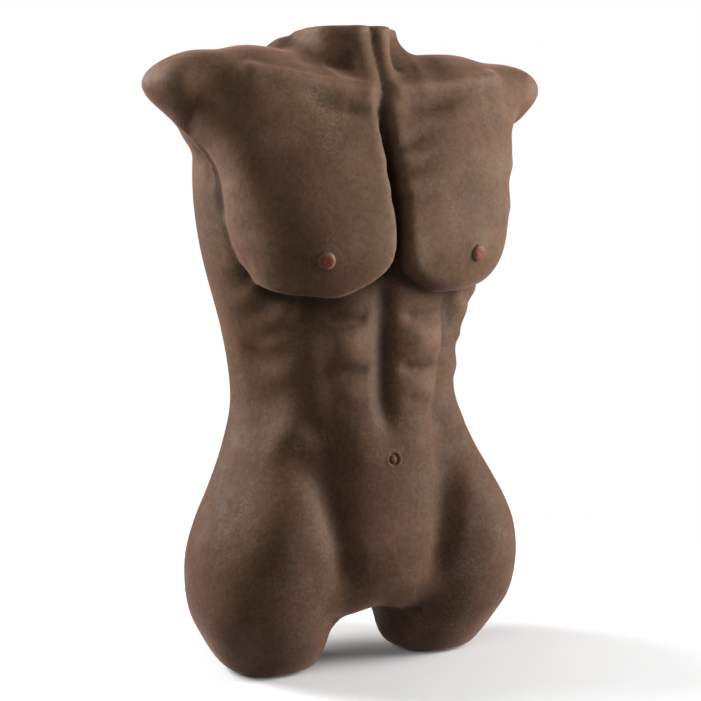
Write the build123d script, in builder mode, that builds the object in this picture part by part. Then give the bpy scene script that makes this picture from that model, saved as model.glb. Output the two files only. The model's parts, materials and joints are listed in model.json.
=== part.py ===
"""Life-size torso mannequin: a soft moulded skin over a two-part foam core on a tubular steel frame.

The body stands on its two thigh stumps. Headless and armless, it faces -Y, with +Z up.
The origin is on the floor, under the centre of the body's bounding box. Everything is in millimetres.
The skin is one hollow moulding, open under each thigh. A sole board inside each thigh spreads the
load of the frame, and a rubber pad closes each opening from below.
"""

import os

from build123d import *

# Body
HEIGHT = 700.0
SKIN_AT_SOLE = 6.0  # the skin is thinner under the thighs, where the pad sits flush in it
CORE_GAP = 0.5  # between the skin and the foam core
SECTION_FULLNESS = 0.80  # how far the corner points of a body section reach, 0.707 is an ellipse

# Height, half width, front and back of the trunk, from the crotch to the top of the neck
TRUNK = [
    (58, 152, -66, 94),
    (65, 173, -82, 112),
    (78, 188, -93, 126),
    (96, 195, -99, 134),
    (120, 196, -104, 137),
    (146, 195, -107, 137),
    (190, 178, -108, 124),
    (240, 151, -102, 102),
    (300, 130, -98, 92),
    (360, 138, -102, 100),
    (410, 151, -114, 110),
    (460, 172, -133, 118),
    (520, 183, -131, 122),
    (570, 182, -112, 116),
    (615, 165, -88, 98),
    (650, 118, -70, 78),
    (676, 66, -60, 62),
    (HEIGHT, 56, -54, 56),
]
# The same for the hollow in it, which leaves the skin 20 to 40 mm thick, and thicker at the crotch
CORE = [
    (96, 150, -60, 72),
    (120, 160, -76, 80),
    (150, 163, -80, 82),
    (190, 150, -78, 76),
    (240, 122, -66, 74),
    (300, 104, -52, 68),
    (360, 108, -54, 74),
    (410, 118, -66, 84),
    (460, 126, -76, 88),
    (520, 128, -80, 90),
    (570, 124, -74, 84),
    (610, 108, -62, 74),
    (640, 88, -50, 62),
    (665, 48, -42, 50),
    (686, 34, -36, 44),
]
# Height, distance from the middle plane, half width and half depth of a thigh stump
THIGH = [
    (0, 106, 44, 54),
    (6, 106, 51, 62),
    (20, 107, 61, 74),
    (45, 108, 70, 84),
    (82, 108, 73, 86),
]
THIGH_Y = 4.0
# Distance from the middle plane, height, half depth and half height of an arm stump
SHOULDER = [
    (40, 604, 74, 66),
    (95, 611, 82, 68),
    (150, 619, 70, 56),
    (190, 626, 53, 43),
    (216, 634, 37, 27),
    (230, 638, 23, 16),
    (237.5, 641, 10, 8),
]
SHOULDER_Y = -2.0
# Radii of the hollow in a thigh, at the sole and where it ends in the hip
THIGH_CORE_R, THIGH_CORE_TOP = (39.5, 40.0), 112.0
# Radii of the hollow in a shoulder, in the chest and at the arm stump, and where it starts
SHOULDER_CORE_R, SHOULDER_CORE_X = (32.0, 23.0), 80.0

# Steel frame, all in the plane y = 0
TUBE_R = 12.5  # spine
ARM_R = 11.0  # arms and thigh posts
TUBE_WALL = 2.0
SLIP = 0.1  # radial gap between a tube and its socket
SOCKET_WALL = 4.5
SHOULDER_Z = 629.0
PELVIS_Z = 122.0
THIGH_X = 106.0
SOCKET_LENGTH = 38.0  # from a fitting's centre to the mouth of its socket
TUBE_STOP = 16.0  # from a fitting's centre to the end of a tube in a blind socket
CROSS_BELOW, CROSS_ABOVE = 36.0, 20.0  # reach of the shoulder fitting's sleeve along the spine
TEE_BELOW = 18.0  # reach of the pelvis fitting below its centre
FITTING_ROUND = 1.2  # rounding on the fittings' rims
SPINE_TOP = 670.0
BORE = 40.0  # longer than any socket or wall it has to cut through

# Grub screws: they bear on the tubes from behind
GRUB_R, GRUB_LENGTH = 3.0, 8.0
GRUB_HEX, GRUB_HEX_DEPTH = 1.5, 3.0
GRUB_FROM_CENTRE = 27.0  # along a socket, from the fitting's centre
GRUB_FROM_MOUTH = 8.0  # below the mouth of a floor flange's socket
GRUB_GAP = 0.05
GRUB_SPACE = 24.0  # room behind the tube's axis that the foam leaves for one

# Arm ends
BALL_R, BALL_X = 19.0, 200.0
BALL_BORE = 20.0

# Neck plate
NECK_PLATE_R, NECK_PLATE_T, NECK_PLATE_ROUND, NECK_SPIGOT = 26.0, 4.0, 1.5, 24.0
NECK_SPACE = 12.0  # height of the room that the foam leaves over the plate
LIFT_NUT_R, LIFT_NUT_T, LIFT_BORE_R = 7.5, 5.0, 4.0

# Soles
PAD_R, PAD_GAP = 28.0, 0.3
BOARD_R, BOARD_T, BOARD_CHAMFER = 39.0, 12.0, 1.5
FLANGE_R, FLANGE_T, FLANGE_SOCKET = 37.0, 4.0, 34.0
SCREW_R, SCREW_LENGTH = 2.0, 11.0
SCREW_HEAD_R, SCREW_HEAD_T, SCREW_HEAD_ROUND = 4.0, 2.4, 1.2
SCREW_GAP = 0.05
PAD_SCREW_RING, FLANGE_SCREW_RING = 19.0, 30.0
SCREWS_PER_RING, FLANGE_SCREW_TURN = 4, 45.0

# Chest
NIPPLE_X, NIPPLE_Z = 89.0, 457.0
NIPPLE_R, NIPPLE_TIP, NIPPLE_SEAT = 7.5, -134.0, -123.0
NIPPLE_STEM_R, NIPPLE_STEM = 3.0, 5.0
NIPPLE_DOME = 2.0  # how far behind its tip the dome is 0.7 of its width
NIPPLE_GAP = 0.1

PARTS = "parts"
LEFT, RIGHT = 1, -1  # the body's own left is at +X
SIDES = {"left": LEFT, "right": RIGHT}


def half_section(height, half_width, front, back):
    """The left half of one rounded, slightly square outline of the trunk, at that height."""
    middle = (front + back) / 2
    corner_x = half_width * SECTION_FULLNESS
    corner_y = (back - front) / 2 * SECTION_FULLNESS
    with BuildSketch(Plane.XY.offset(height)) as outline:
        with BuildLine():
            Spline(
                (0, front),
                (corner_x, middle - corner_y),
                (half_width, middle),
                tangents=[(1, 0), (0, 1)],
            )
            Spline(
                (half_width, middle),
                (corner_x, middle + corner_y),
                (0, back),
                tangents=[(0, 1), (-1, 0)],
            )
            Line((0, back), (0, front))
        make_face()
    return outline.sketch


def oval(plane, place, half_width, half_height):
    """One ellipse at a place on a plane."""
    with BuildSketch(plane) as outline:
        with Locations(place):
            Ellipse(half_width, half_height)
    return outline.sketch


def half_trunk():
    """The left half of the trunk and neck."""
    loft([half_section(*row) for row in TRUNK])


def thigh():
    """The left thigh stump."""
    loft(
        [
            oval(Plane.XY.offset(z), (x, THIGH_Y), half_width, half_depth)
            for z, x, half_width, half_depth in THIGH
        ]
    )


def shoulder():
    """The left arm stump."""
    loft(
        [
            oval(Plane.YZ.offset(x), (SHOULDER_Y, z), half_depth, half_height)
            for x, z, half_depth, half_height in SHOULDER
        ]
    )


def half_core(gap=0.0, mode=Mode.ADD):
    """The left half of the foam core, its walls moved in by gap. Without a gap it is the hollow."""
    ends = {CORE[0][0]: gap, CORE[-1][0]: -gap}
    loft(
        [
            half_section(z + ends.get(z, 0), half_width - gap, front + gap, back - gap)
            for z, half_width, front, back in CORE
        ],
        mode=mode,
    )
    chest_r, stump_r = (radius - gap for radius in SHOULDER_CORE_R)
    with BuildSketch(Plane.XZ) as arm_profile:
        with BuildLine():
            Polyline(
                (BALL_X, SHOULDER_Z + stump_r),
                (SHOULDER_CORE_X, SHOULDER_Z + chest_r),
                (SHOULDER_CORE_X, SHOULDER_Z),
                (BALL_X + stump_r, SHOULDER_Z),
            )
            RadiusArc((BALL_X + stump_r, SHOULDER_Z), (BALL_X, SHOULDER_Z + stump_r), -stump_r)
        make_face()
    revolve(arm_profile.sketch, axis=Axis((0, 0, SHOULDER_Z), (1, 0, 0)), mode=mode)
    sole_r, hip_r = (radius - gap for radius in THIGH_CORE_R)
    with BuildSketch(Plane.XZ) as thigh_profile:
        with BuildLine():
            Polyline(
                (THIGH_X, SKIN_AT_SOLE + gap),
                (THIGH_X + sole_r, SKIN_AT_SOLE + gap),
                (THIGH_X + hip_r, THIGH_CORE_TOP),
                (THIGH_X, THIGH_CORE_TOP),
                close=True,
            )
        make_face()
    revolve(thigh_profile.sketch, axis=Axis((THIGH_X, 0, 0), (0, 0, 1)), mode=mode)


def nipple_form(side, gap=0.0, mode=Mode.ADD):
    """A low dome on a short stem, pointing forwards, or its seat with a gap all round."""
    dome_r, stem_r = NIPPLE_R + gap, NIPPLE_STEM_R + gap
    seat, stem_end = NIPPLE_SEAT + gap, NIPPLE_SEAT + NIPPLE_STEM + gap
    rim_y = NIPPLE_TIP + NIPPLE_R
    level = Plane((side * NIPPLE_X, 0, NIPPLE_Z), x_dir=(1, 0, 0), z_dir=(0, 0, 1))
    with BuildSketch(level) as profile:
        with BuildLine():
            Polyline(
                (0, NIPPLE_TIP),
                (0, stem_end),
                (stem_r, stem_end),
                (stem_r, seat),
                (dome_r, seat),
                (dome_r, rim_y),
            )
            Spline(
                (dome_r, rim_y),
                (dome_r * 0.7, NIPPLE_TIP + NIPPLE_DOME),
                (0, NIPPLE_TIP),
                tangents=[(0, -1), (-1, 0)],
            )
        make_face()
    revolve(profile.sketch, axis=Axis(level.origin, (0, 1, 0)), mode=mode)


def tube(plane, radius, length):
    """A round tube standing on a plane."""
    with BuildSketch(plane) as ring:
        Circle(radius)
        Circle(radius - TUBE_WALL, mode=Mode.SUBTRACT)
    extrude(ring.sketch, amount=length)


def rod(plane, radius, length, mode=Mode.ADD):
    """A round bar standing on a plane, added or cut."""
    with BuildSketch(plane) as disc:
        Circle(radius)
    extrude(disc.sketch, amount=length, mode=mode)


def across(x, z, side):
    """A plane at that point of the frame, facing outwards along X on that side."""
    return Plane((x, 0, z), x_dir=(0, 1, 0), z_dir=(side, 0, 0))


def upright(x, z, up=1):
    """A plane at that point of the frame, facing up, or down if up is -1."""
    return Plane((x, 0, z), x_dir=(1, 0, 0), z_dir=(0, 0, up))


def behind(x, z):
    """A plane at that point of the frame, facing backwards, along which the grub screws lie."""
    return Plane((x, 0, z), x_dir=(1, 0, 0), z_dir=(0, 1, 0))


def grub_holes(places):
    """The threaded holes for grub screws in a fitting, from each tube's axis backwards."""
    for x, z, _ in places:
        rod(behind(x, z), GRUB_R + GRUB_GAP, BORE, Mode.SUBTRACT)


def grub_screws(places):
    """Socket grub screws that bear on the tubes from behind."""
    for x, z, radius in places:
        start = radius + GRUB_GAP
        rod(behind(x, z).offset(start), GRUB_R, GRUB_LENGTH)
        with BuildSketch(behind(x, z).offset(start + GRUB_LENGTH)) as key_hole:
            RegularPolygon(GRUB_HEX, 6)
        extrude(key_hole.sketch, amount=-GRUB_HEX_DEPTH, mode=Mode.SUBTRACT)


def screw_ring(plane, ring_r, radius, length, turn=0.0, mode=Mode.ADD):
    """Round bars in a ring on a plane, one for each screw, added or cut."""
    with BuildSketch(plane) as discs:
        with PolarLocations(ring_r, SCREWS_PER_RING, start_angle=turn):
            Circle(radius)
    extrude(discs.sketch, amount=length, mode=mode)


def save(part, name):
    part.part.label = name
    export_step(part.part, os.path.join(PARTS, f"{name}.step"))


# Where each fitting's grub screws are: place in the frame's plane and radius of the tube they hold
shoulder_grubs = [
    (0, SHOULDER_Z - GRUB_FROM_CENTRE, TUBE_R),
    (GRUB_FROM_CENTRE, SHOULDER_Z, ARM_R),
    (-GRUB_FROM_CENTRE, SHOULDER_Z, ARM_R),
]
pelvis_grubs = [
    (0, PELVIS_Z + GRUB_FROM_CENTRE, TUBE_R),
    (GRUB_FROM_CENTRE, PELVIS_Z, ARM_R),
    (-GRUB_FROM_CENTRE, PELVIS_Z, ARM_R),
]
hip_grubs = {
    side: [
        (side * (THIGH_X - GRUB_FROM_CENTRE), PELVIS_Z, ARM_R),
        (side * THIGH_X, PELVIS_Z - GRUB_FROM_CENTRE, ARM_R),
    ]
    for side in SIDES.values()
}
flange_z = SKIN_AT_SOLE + BOARD_T
post_foot = flange_z + FLANGE_T
flange_grubs = {
    side: [(side * THIGH_X, flange_z + FLANGE_SOCKET - GRUB_FROM_MOUTH, ARM_R)]
    for side in SIDES.values()
}
socket_r = ARM_R + SLIP + SOCKET_WALL
spine_socket_r = TUBE_R + SLIP + SOCKET_WALL
spine_foot = PELVIS_Z + TUBE_STOP


def half_frame_space(gap):
    """Cuts the room that the left half of the steel frame takes out of the foam core."""
    rod(upright(0, spine_foot), TUBE_R + gap, SPINE_TOP - spine_foot, Mode.SUBTRACT)
    cross_foot = upright(0, SHOULDER_Z - CROSS_BELOW)
    rod(cross_foot, spine_socket_r + gap, CROSS_BELOW + CROSS_ABOVE, Mode.SUBTRACT)
    tee_foot = upright(0, PELVIS_Z - TEE_BELOW)
    rod(tee_foot, spine_socket_r + gap, TEE_BELOW + SOCKET_LENGTH, Mode.SUBTRACT)
    rod(upright(0, SPINE_TOP - gap), NECK_PLATE_R + gap, NECK_SPACE, Mode.SUBTRACT)
    for z, end in ((SHOULDER_Z, BALL_X), (PELVIS_Z, THIGH_X)):
        rod(across(0, z, LEFT), ARM_R + gap, end, Mode.SUBTRACT)
        rod(across(0, z, LEFT), socket_r + gap, SOCKET_LENGTH, Mode.SUBTRACT)
    with Locations((BALL_X, 0, SHOULDER_Z)):
        Sphere(BALL_R + gap, mode=Mode.SUBTRACT)
    hip = across(THIGH_X - SOCKET_LENGTH, PELVIS_Z, LEFT)
    rod(hip, socket_r + gap, SOCKET_LENGTH, Mode.SUBTRACT)
    with Locations((THIGH_X, 0, PELVIS_Z)):
        Sphere(socket_r + gap, mode=Mode.SUBTRACT)
    sole = upright(THIGH_X, 0)
    rod(sole, socket_r + gap, PELVIS_Z, Mode.SUBTRACT)
    rod(sole, FLANGE_R + gap, post_foot + SCREW_HEAD_T + gap, Mode.SUBTRACT)
    rod(sole, THIGH_CORE_R[0], flange_z + gap, Mode.SUBTRACT)
    for x, z, _ in (*shoulder_grubs, *pelvis_grubs, *hip_grubs[LEFT], *flange_grubs[LEFT]):
        rod(behind(x, z), GRUB_R + gap, GRUB_SPACE, Mode.SUBTRACT)


os.makedirs(PARTS, exist_ok=True)

# Skin: one hollow moulding, open under each thigh
with BuildPart() as torso_skin:
    half_trunk()
    thigh()
    shoulder()
    half_core(mode=Mode.SUBTRACT)
    rod(upright(THIGH_X, 0), PAD_R + PAD_GAP, SKIN_AT_SOLE + 1, Mode.SUBTRACT)
    nipple_form(LEFT, NIPPLE_GAP, Mode.SUBTRACT)
    mirror(about=Plane.YZ)
save(torso_skin, "torso_skin")

# Foam core: two halves that close around the frame on its own plane
for half, kept in (("front", Keep.TOP), ("back", Keep.BOTTOM)):
    with BuildPart() as foam_core:
        half_core(CORE_GAP)
        half_frame_space(CORE_GAP)
        split(bisect_by=Plane.XZ, keep=kept)
        mirror(about=Plane.YZ)
    save(foam_core, f"foam_core_{half}")

# Spine, from the pelvis fitting to the neck
with BuildPart() as spine_tube:
    tube(upright(0, spine_foot), TUBE_R, SPINE_TOP - spine_foot)
save(spine_tube, "spine_tube")

# Neck plate: it stops the spine from pushing through the skin, and holds the nut it was hung by
with BuildPart() as neck_plate:
    rod(upright(0, SPINE_TOP), NECK_PLATE_R, NECK_PLATE_T)
    fillet(neck_plate.edges().group_by(Axis.Z)[-1], radius=NECK_PLATE_ROUND)
    rod(upright(0, SPINE_TOP, -1), TUBE_R - TUBE_WALL - SLIP, NECK_SPIGOT)
    rod(upright(0, SPINE_TOP - NECK_SPIGOT), LIFT_BORE_R, BORE, Mode.SUBTRACT)
save(neck_plate, "neck_plate")

with BuildPart() as lift_nut:
    with BuildSketch(upright(0, SPINE_TOP + NECK_PLATE_T)):
        RegularPolygon(LIFT_NUT_R, 6)
        Circle(LIFT_BORE_R, mode=Mode.SUBTRACT)
    extrude(amount=LIFT_NUT_T)
save(lift_nut, "lift_nut")

# Shoulder fitting: the spine runs through it, and an arm goes into each side
with BuildPart() as shoulder_cross:
    cross_foot = upright(0, SHOULDER_Z - CROSS_BELOW)
    rod(cross_foot, spine_socket_r, CROSS_BELOW + CROSS_ABOVE)
    for side in SIDES.values():
        rod(across(0, SHOULDER_Z, side), socket_r, SOCKET_LENGTH)
    rims = shoulder_cross.edges().filter_by(GeomType.CIRCLE).filter_by(lambda edge: edge.is_closed)
    fillet(rims, radius=FITTING_ROUND)
    rod(cross_foot, TUBE_R + SLIP, CROSS_BELOW + CROSS_ABOVE, Mode.SUBTRACT)
    for side in SIDES.values():
        rod(across(side * TUBE_STOP, SHOULDER_Z, side), ARM_R + SLIP, BORE, Mode.SUBTRACT)
    grub_holes(shoulder_grubs)
save(shoulder_cross, "shoulder_cross")

with BuildPart() as shoulder_grub_screws:
    grub_screws(shoulder_grubs)
save(shoulder_grub_screws, "shoulder_grub_screws")

# Pelvis fitting: a three-way tee with a blind socket up for the spine
with BuildPart() as pelvis_tee:
    rod(upright(0, PELVIS_Z - TEE_BELOW), spine_socket_r, TEE_BELOW + SOCKET_LENGTH)
    for side in SIDES.values():
        rod(across(0, PELVIS_Z, side), socket_r, SOCKET_LENGTH)
    rims = pelvis_tee.edges().filter_by(GeomType.CIRCLE).filter_by(lambda edge: edge.is_closed)
    fillet(rims, radius=FITTING_ROUND)
    rod(upright(0, spine_foot), TUBE_R + SLIP, SOCKET_LENGTH, Mode.SUBTRACT)
    for side in SIDES.values():
        rod(across(side * TUBE_STOP, PELVIS_Z, side), ARM_R + SLIP, BORE, Mode.SUBTRACT)
    grub_holes(pelvis_grubs)
save(pelvis_tee, "pelvis_tee")

with BuildPart() as pelvis_grub_screws:
    grub_screws(pelvis_grubs)
save(pelvis_grub_screws, "pelvis_grub_screws")

# One of each of these on either side
for name, side in SIDES.items():
    shoulder_end = BALL_X - BALL_R + BALL_BORE
    with BuildPart() as shoulder_arm:
        tube(across(side * TUBE_STOP, SHOULDER_Z, side), ARM_R, shoulder_end - TUBE_STOP)
    save(shoulder_arm, f"shoulder_arm_{name}")

    # A ball on the arm's end rounds the stump, so that the tube can't cut through the skin
    with BuildPart() as stump_ball:
        with Locations((side * BALL_X, 0, SHOULDER_Z)):
            Sphere(BALL_R)
        mouth = across(side * (BALL_X - BALL_R), SHOULDER_Z, side)
        rod(mouth, ARM_R + SLIP, BALL_BORE + SLIP, Mode.SUBTRACT)
    save(stump_ball, f"stump_ball_{name}")

    with BuildPart() as hip_arm:
        tube(across(side * TUBE_STOP, PELVIS_Z, side), ARM_R, THIGH_X - 2 * TUBE_STOP)
    save(hip_arm, f"hip_arm_{name}")

    with BuildPart() as hip_elbow:
        rod(across(side * (THIGH_X - SOCKET_LENGTH), PELVIS_Z, side), socket_r, SOCKET_LENGTH)
        rod(upright(side * THIGH_X, PELVIS_Z, -1), socket_r, SOCKET_LENGTH)
        with Locations((side * THIGH_X, 0, PELVIS_Z)):
            Sphere(socket_r)
        inner = across(side * (THIGH_X - TUBE_STOP), PELVIS_Z, -side)
        rod(inner, ARM_R + SLIP, BORE, Mode.SUBTRACT)
        rod(upright(side * THIGH_X, PELVIS_Z - TUBE_STOP, -1), ARM_R + SLIP, BORE, Mode.SUBTRACT)
        grub_holes(hip_grubs[side])
    save(hip_elbow, f"hip_elbow_{name}")

    with BuildPart() as hip_grub_screws:
        grub_screws(hip_grubs[side])
    save(hip_grub_screws, f"hip_grub_screws_{name}")

    with BuildPart() as thigh_post:
        tube(upright(side * THIGH_X, post_foot), ARM_R, PELVIS_Z - TUBE_STOP - post_foot)
    save(thigh_post, f"thigh_post_{name}")

    # Floor flange: a socket on a round plate, screwed to the sole board
    with BuildPart() as sole_flange:
        seat = upright(side * THIGH_X, flange_z)
        rod(seat, FLANGE_R, FLANGE_T)
        rod(seat, socket_r, FLANGE_SOCKET)
        fillet(sole_flange.edges().group_by(Axis.Z)[-1], radius=FITTING_ROUND)
        rod(upright(side * THIGH_X, post_foot), ARM_R + SLIP, FLANGE_SOCKET, Mode.SUBTRACT)
        hole_r = SCREW_R + SCREW_GAP
        screw_ring(seat, FLANGE_SCREW_RING, hole_r, FLANGE_T, FLANGE_SCREW_TURN, Mode.SUBTRACT)
        grub_holes(flange_grubs[side])
    save(sole_flange, f"sole_flange_{name}")

    with BuildPart() as flange_grub_screw:
        grub_screws(flange_grubs[side])
    save(flange_grub_screw, f"flange_grub_screw_{name}")

    # Pan-head screws that hold the flange down on the board
    with BuildPart() as flange_screws:
        top = upright(side * THIGH_X, post_foot)
        screw_ring(top, FLANGE_SCREW_RING, SCREW_HEAD_R, SCREW_HEAD_T, FLANGE_SCREW_TURN)
        fillet(flange_screws.edges().group_by(Axis.Z)[-1], radius=SCREW_HEAD_ROUND)
        screw_ring(top, FLANGE_SCREW_RING, SCREW_R, -SCREW_LENGTH, FLANGE_SCREW_TURN)
    save(flange_screws, f"flange_screws_{name}")

    with BuildPart() as sole_board:
        underside = upright(side * THIGH_X, SKIN_AT_SOLE)
        rod(underside, BOARD_R, BOARD_T)
        chamfer(sole_board.edges().group_by(Axis.Z)[-1], length=BOARD_CHAMFER)
        board_top = upright(side * THIGH_X, flange_z)
        depth = SCREW_LENGTH - FLANGE_T
        screw_ring(
            board_top, FLANGE_SCREW_RING, hole_r, -depth, FLANGE_SCREW_TURN, Mode.SUBTRACT
        )
        depth = SCREW_LENGTH - SKIN_AT_SOLE + 1
        screw_ring(underside, PAD_SCREW_RING, hole_r, depth, mode=Mode.SUBTRACT)
    save(sole_board, f"sole_board_{name}")

    # Rubber pad, flush with the skin, held by countersunk screws from below
    with BuildPart() as base_pad:
        rod(upright(side * THIGH_X, 0), PAD_R, SKIN_AT_SOLE)
        with Locations(Plane((side * THIGH_X, 0, 0), x_dir=(1, 0, 0), z_dir=(0, 0, -1))):
            with PolarLocations(PAD_SCREW_RING, SCREWS_PER_RING):
                CounterSinkHole(hole_r, SCREW_HEAD_R + SCREW_GAP, SKIN_AT_SOLE)
    save(base_pad, f"base_pad_{name}")

    with BuildPart() as pad_screws:
        screw_ring(upright(side * THIGH_X, 0), PAD_SCREW_RING, SCREW_R, SCREW_LENGTH)
        with Locations((side * THIGH_X, 0, 0)):
            with PolarLocations(PAD_SCREW_RING, SCREWS_PER_RING):
                Cone(
                    SCREW_HEAD_R,
                    SCREW_R,
                    SCREW_HEAD_R - SCREW_R,
                    align=(Align.CENTER, Align.CENTER, Align.MIN),
                )
    save(pad_screws, f"pad_screws_{name}")

    with BuildPart() as nipple:
        nipple_form(side)
    save(nipple, f"nipple_{name}")
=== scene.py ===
"""Looks of the torso mannequin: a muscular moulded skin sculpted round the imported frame, with materials.

Each half of the body is sculpted in millimetres as a distance field on a grid of its own. The two are
joined at the middle and meshed once.
"""
import json
import math

import bmesh
import bpy
import numpy as np
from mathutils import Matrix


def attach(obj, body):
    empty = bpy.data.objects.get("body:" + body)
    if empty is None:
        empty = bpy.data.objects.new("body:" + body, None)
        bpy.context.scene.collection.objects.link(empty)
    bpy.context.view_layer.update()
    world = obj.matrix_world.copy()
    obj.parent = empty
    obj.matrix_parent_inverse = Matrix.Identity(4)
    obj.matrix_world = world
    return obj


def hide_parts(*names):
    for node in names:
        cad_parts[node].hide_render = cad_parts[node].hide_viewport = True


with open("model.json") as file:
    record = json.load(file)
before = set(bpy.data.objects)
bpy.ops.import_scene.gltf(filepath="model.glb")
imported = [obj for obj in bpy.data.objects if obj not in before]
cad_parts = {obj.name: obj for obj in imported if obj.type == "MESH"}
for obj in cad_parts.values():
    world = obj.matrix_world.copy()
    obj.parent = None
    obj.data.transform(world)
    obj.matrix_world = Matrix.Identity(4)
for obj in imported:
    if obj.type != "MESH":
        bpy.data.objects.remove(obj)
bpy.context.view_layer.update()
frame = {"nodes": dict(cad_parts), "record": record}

import openvdb
from mathutils import Matrix, Vector

MM = 0.001
STEP = 3.35  # millimetres between the points of the clay grid
GRID_LOW = np.array([0.0, -153.0, -12.0])
GRID_HIGH = np.array([249.0, 153.0, 714.0])
HEIGHT = 700.0
LEFT, RIGHT = 1, -1
FAR = 1000.0  # a distance larger than any in the body
TINY = 1e-6  # keeps a division off zero
LIMIT = 60.0  # distances beyond this aren't kept


# ---------------------------------------------------------------- clay
def smooth_min(a, b, k):
    h = np.maximum(k - np.abs(a - b), 0.0) / k
    return np.minimum(a, b) - h * h * k * 0.25


def smooth_max(a, b, k):
    return -smooth_min(-a, -b, k)


def spline(points, per):
    """Rows of numbers along a smooth curve through the given rows, per steps from one row to the next."""
    p = np.array(points, float)
    p = np.vstack([2 * p[0] - p[1], p, 2 * p[-1] - p[-2]])
    t = np.linspace(0, 1, per, endpoint=False)[:, None]
    out = []
    for i in range(1, len(p) - 2):
        a, b, c, d = p[i - 1 : i + 3]
        cubic = (3 * b - a - 3 * c + d) * t**3
        out.append(0.5 * (2 * b + (c - a) * t + (2 * a - 5 * b + 4 * c - d) * t**2 + cubic))
    return np.vstack(out + [p[-2][None]])


def turn(rx, ry, rz):
    """Rotation matrix from angles in degrees about X, then Y, then Z."""
    radians = map(math.radians, (rx, ry, rz))
    (cx, sx), (cy, sy), (cz, sz) = ((math.cos(a), math.sin(a)) for a in radians)
    about_x = np.array([[1, 0, 0], [0, cx, -sx], [0, sx, cx]])
    about_y = np.array([[cy, 0, sy], [0, 1, 0], [-sy, 0, cy]])
    about_z = np.array([[cz, -sz, 0], [sz, cz, 0], [0, 0, 1]])
    return about_z @ about_y @ about_x


def section(u, v, a, b, power):
    """About the distance to a rounded section, from offsets u and v and half sizes a and b."""
    g = ((u / a) ** power + (v / b) ** power) ** (1 / power) + TINY
    # deep inside, where the first form runs away, a flat value stands in
    return np.where(g > 0.35, np.sqrt(u * u + v * v) * (1 - 1 / g), -0.6 * np.minimum(a, b))


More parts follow.
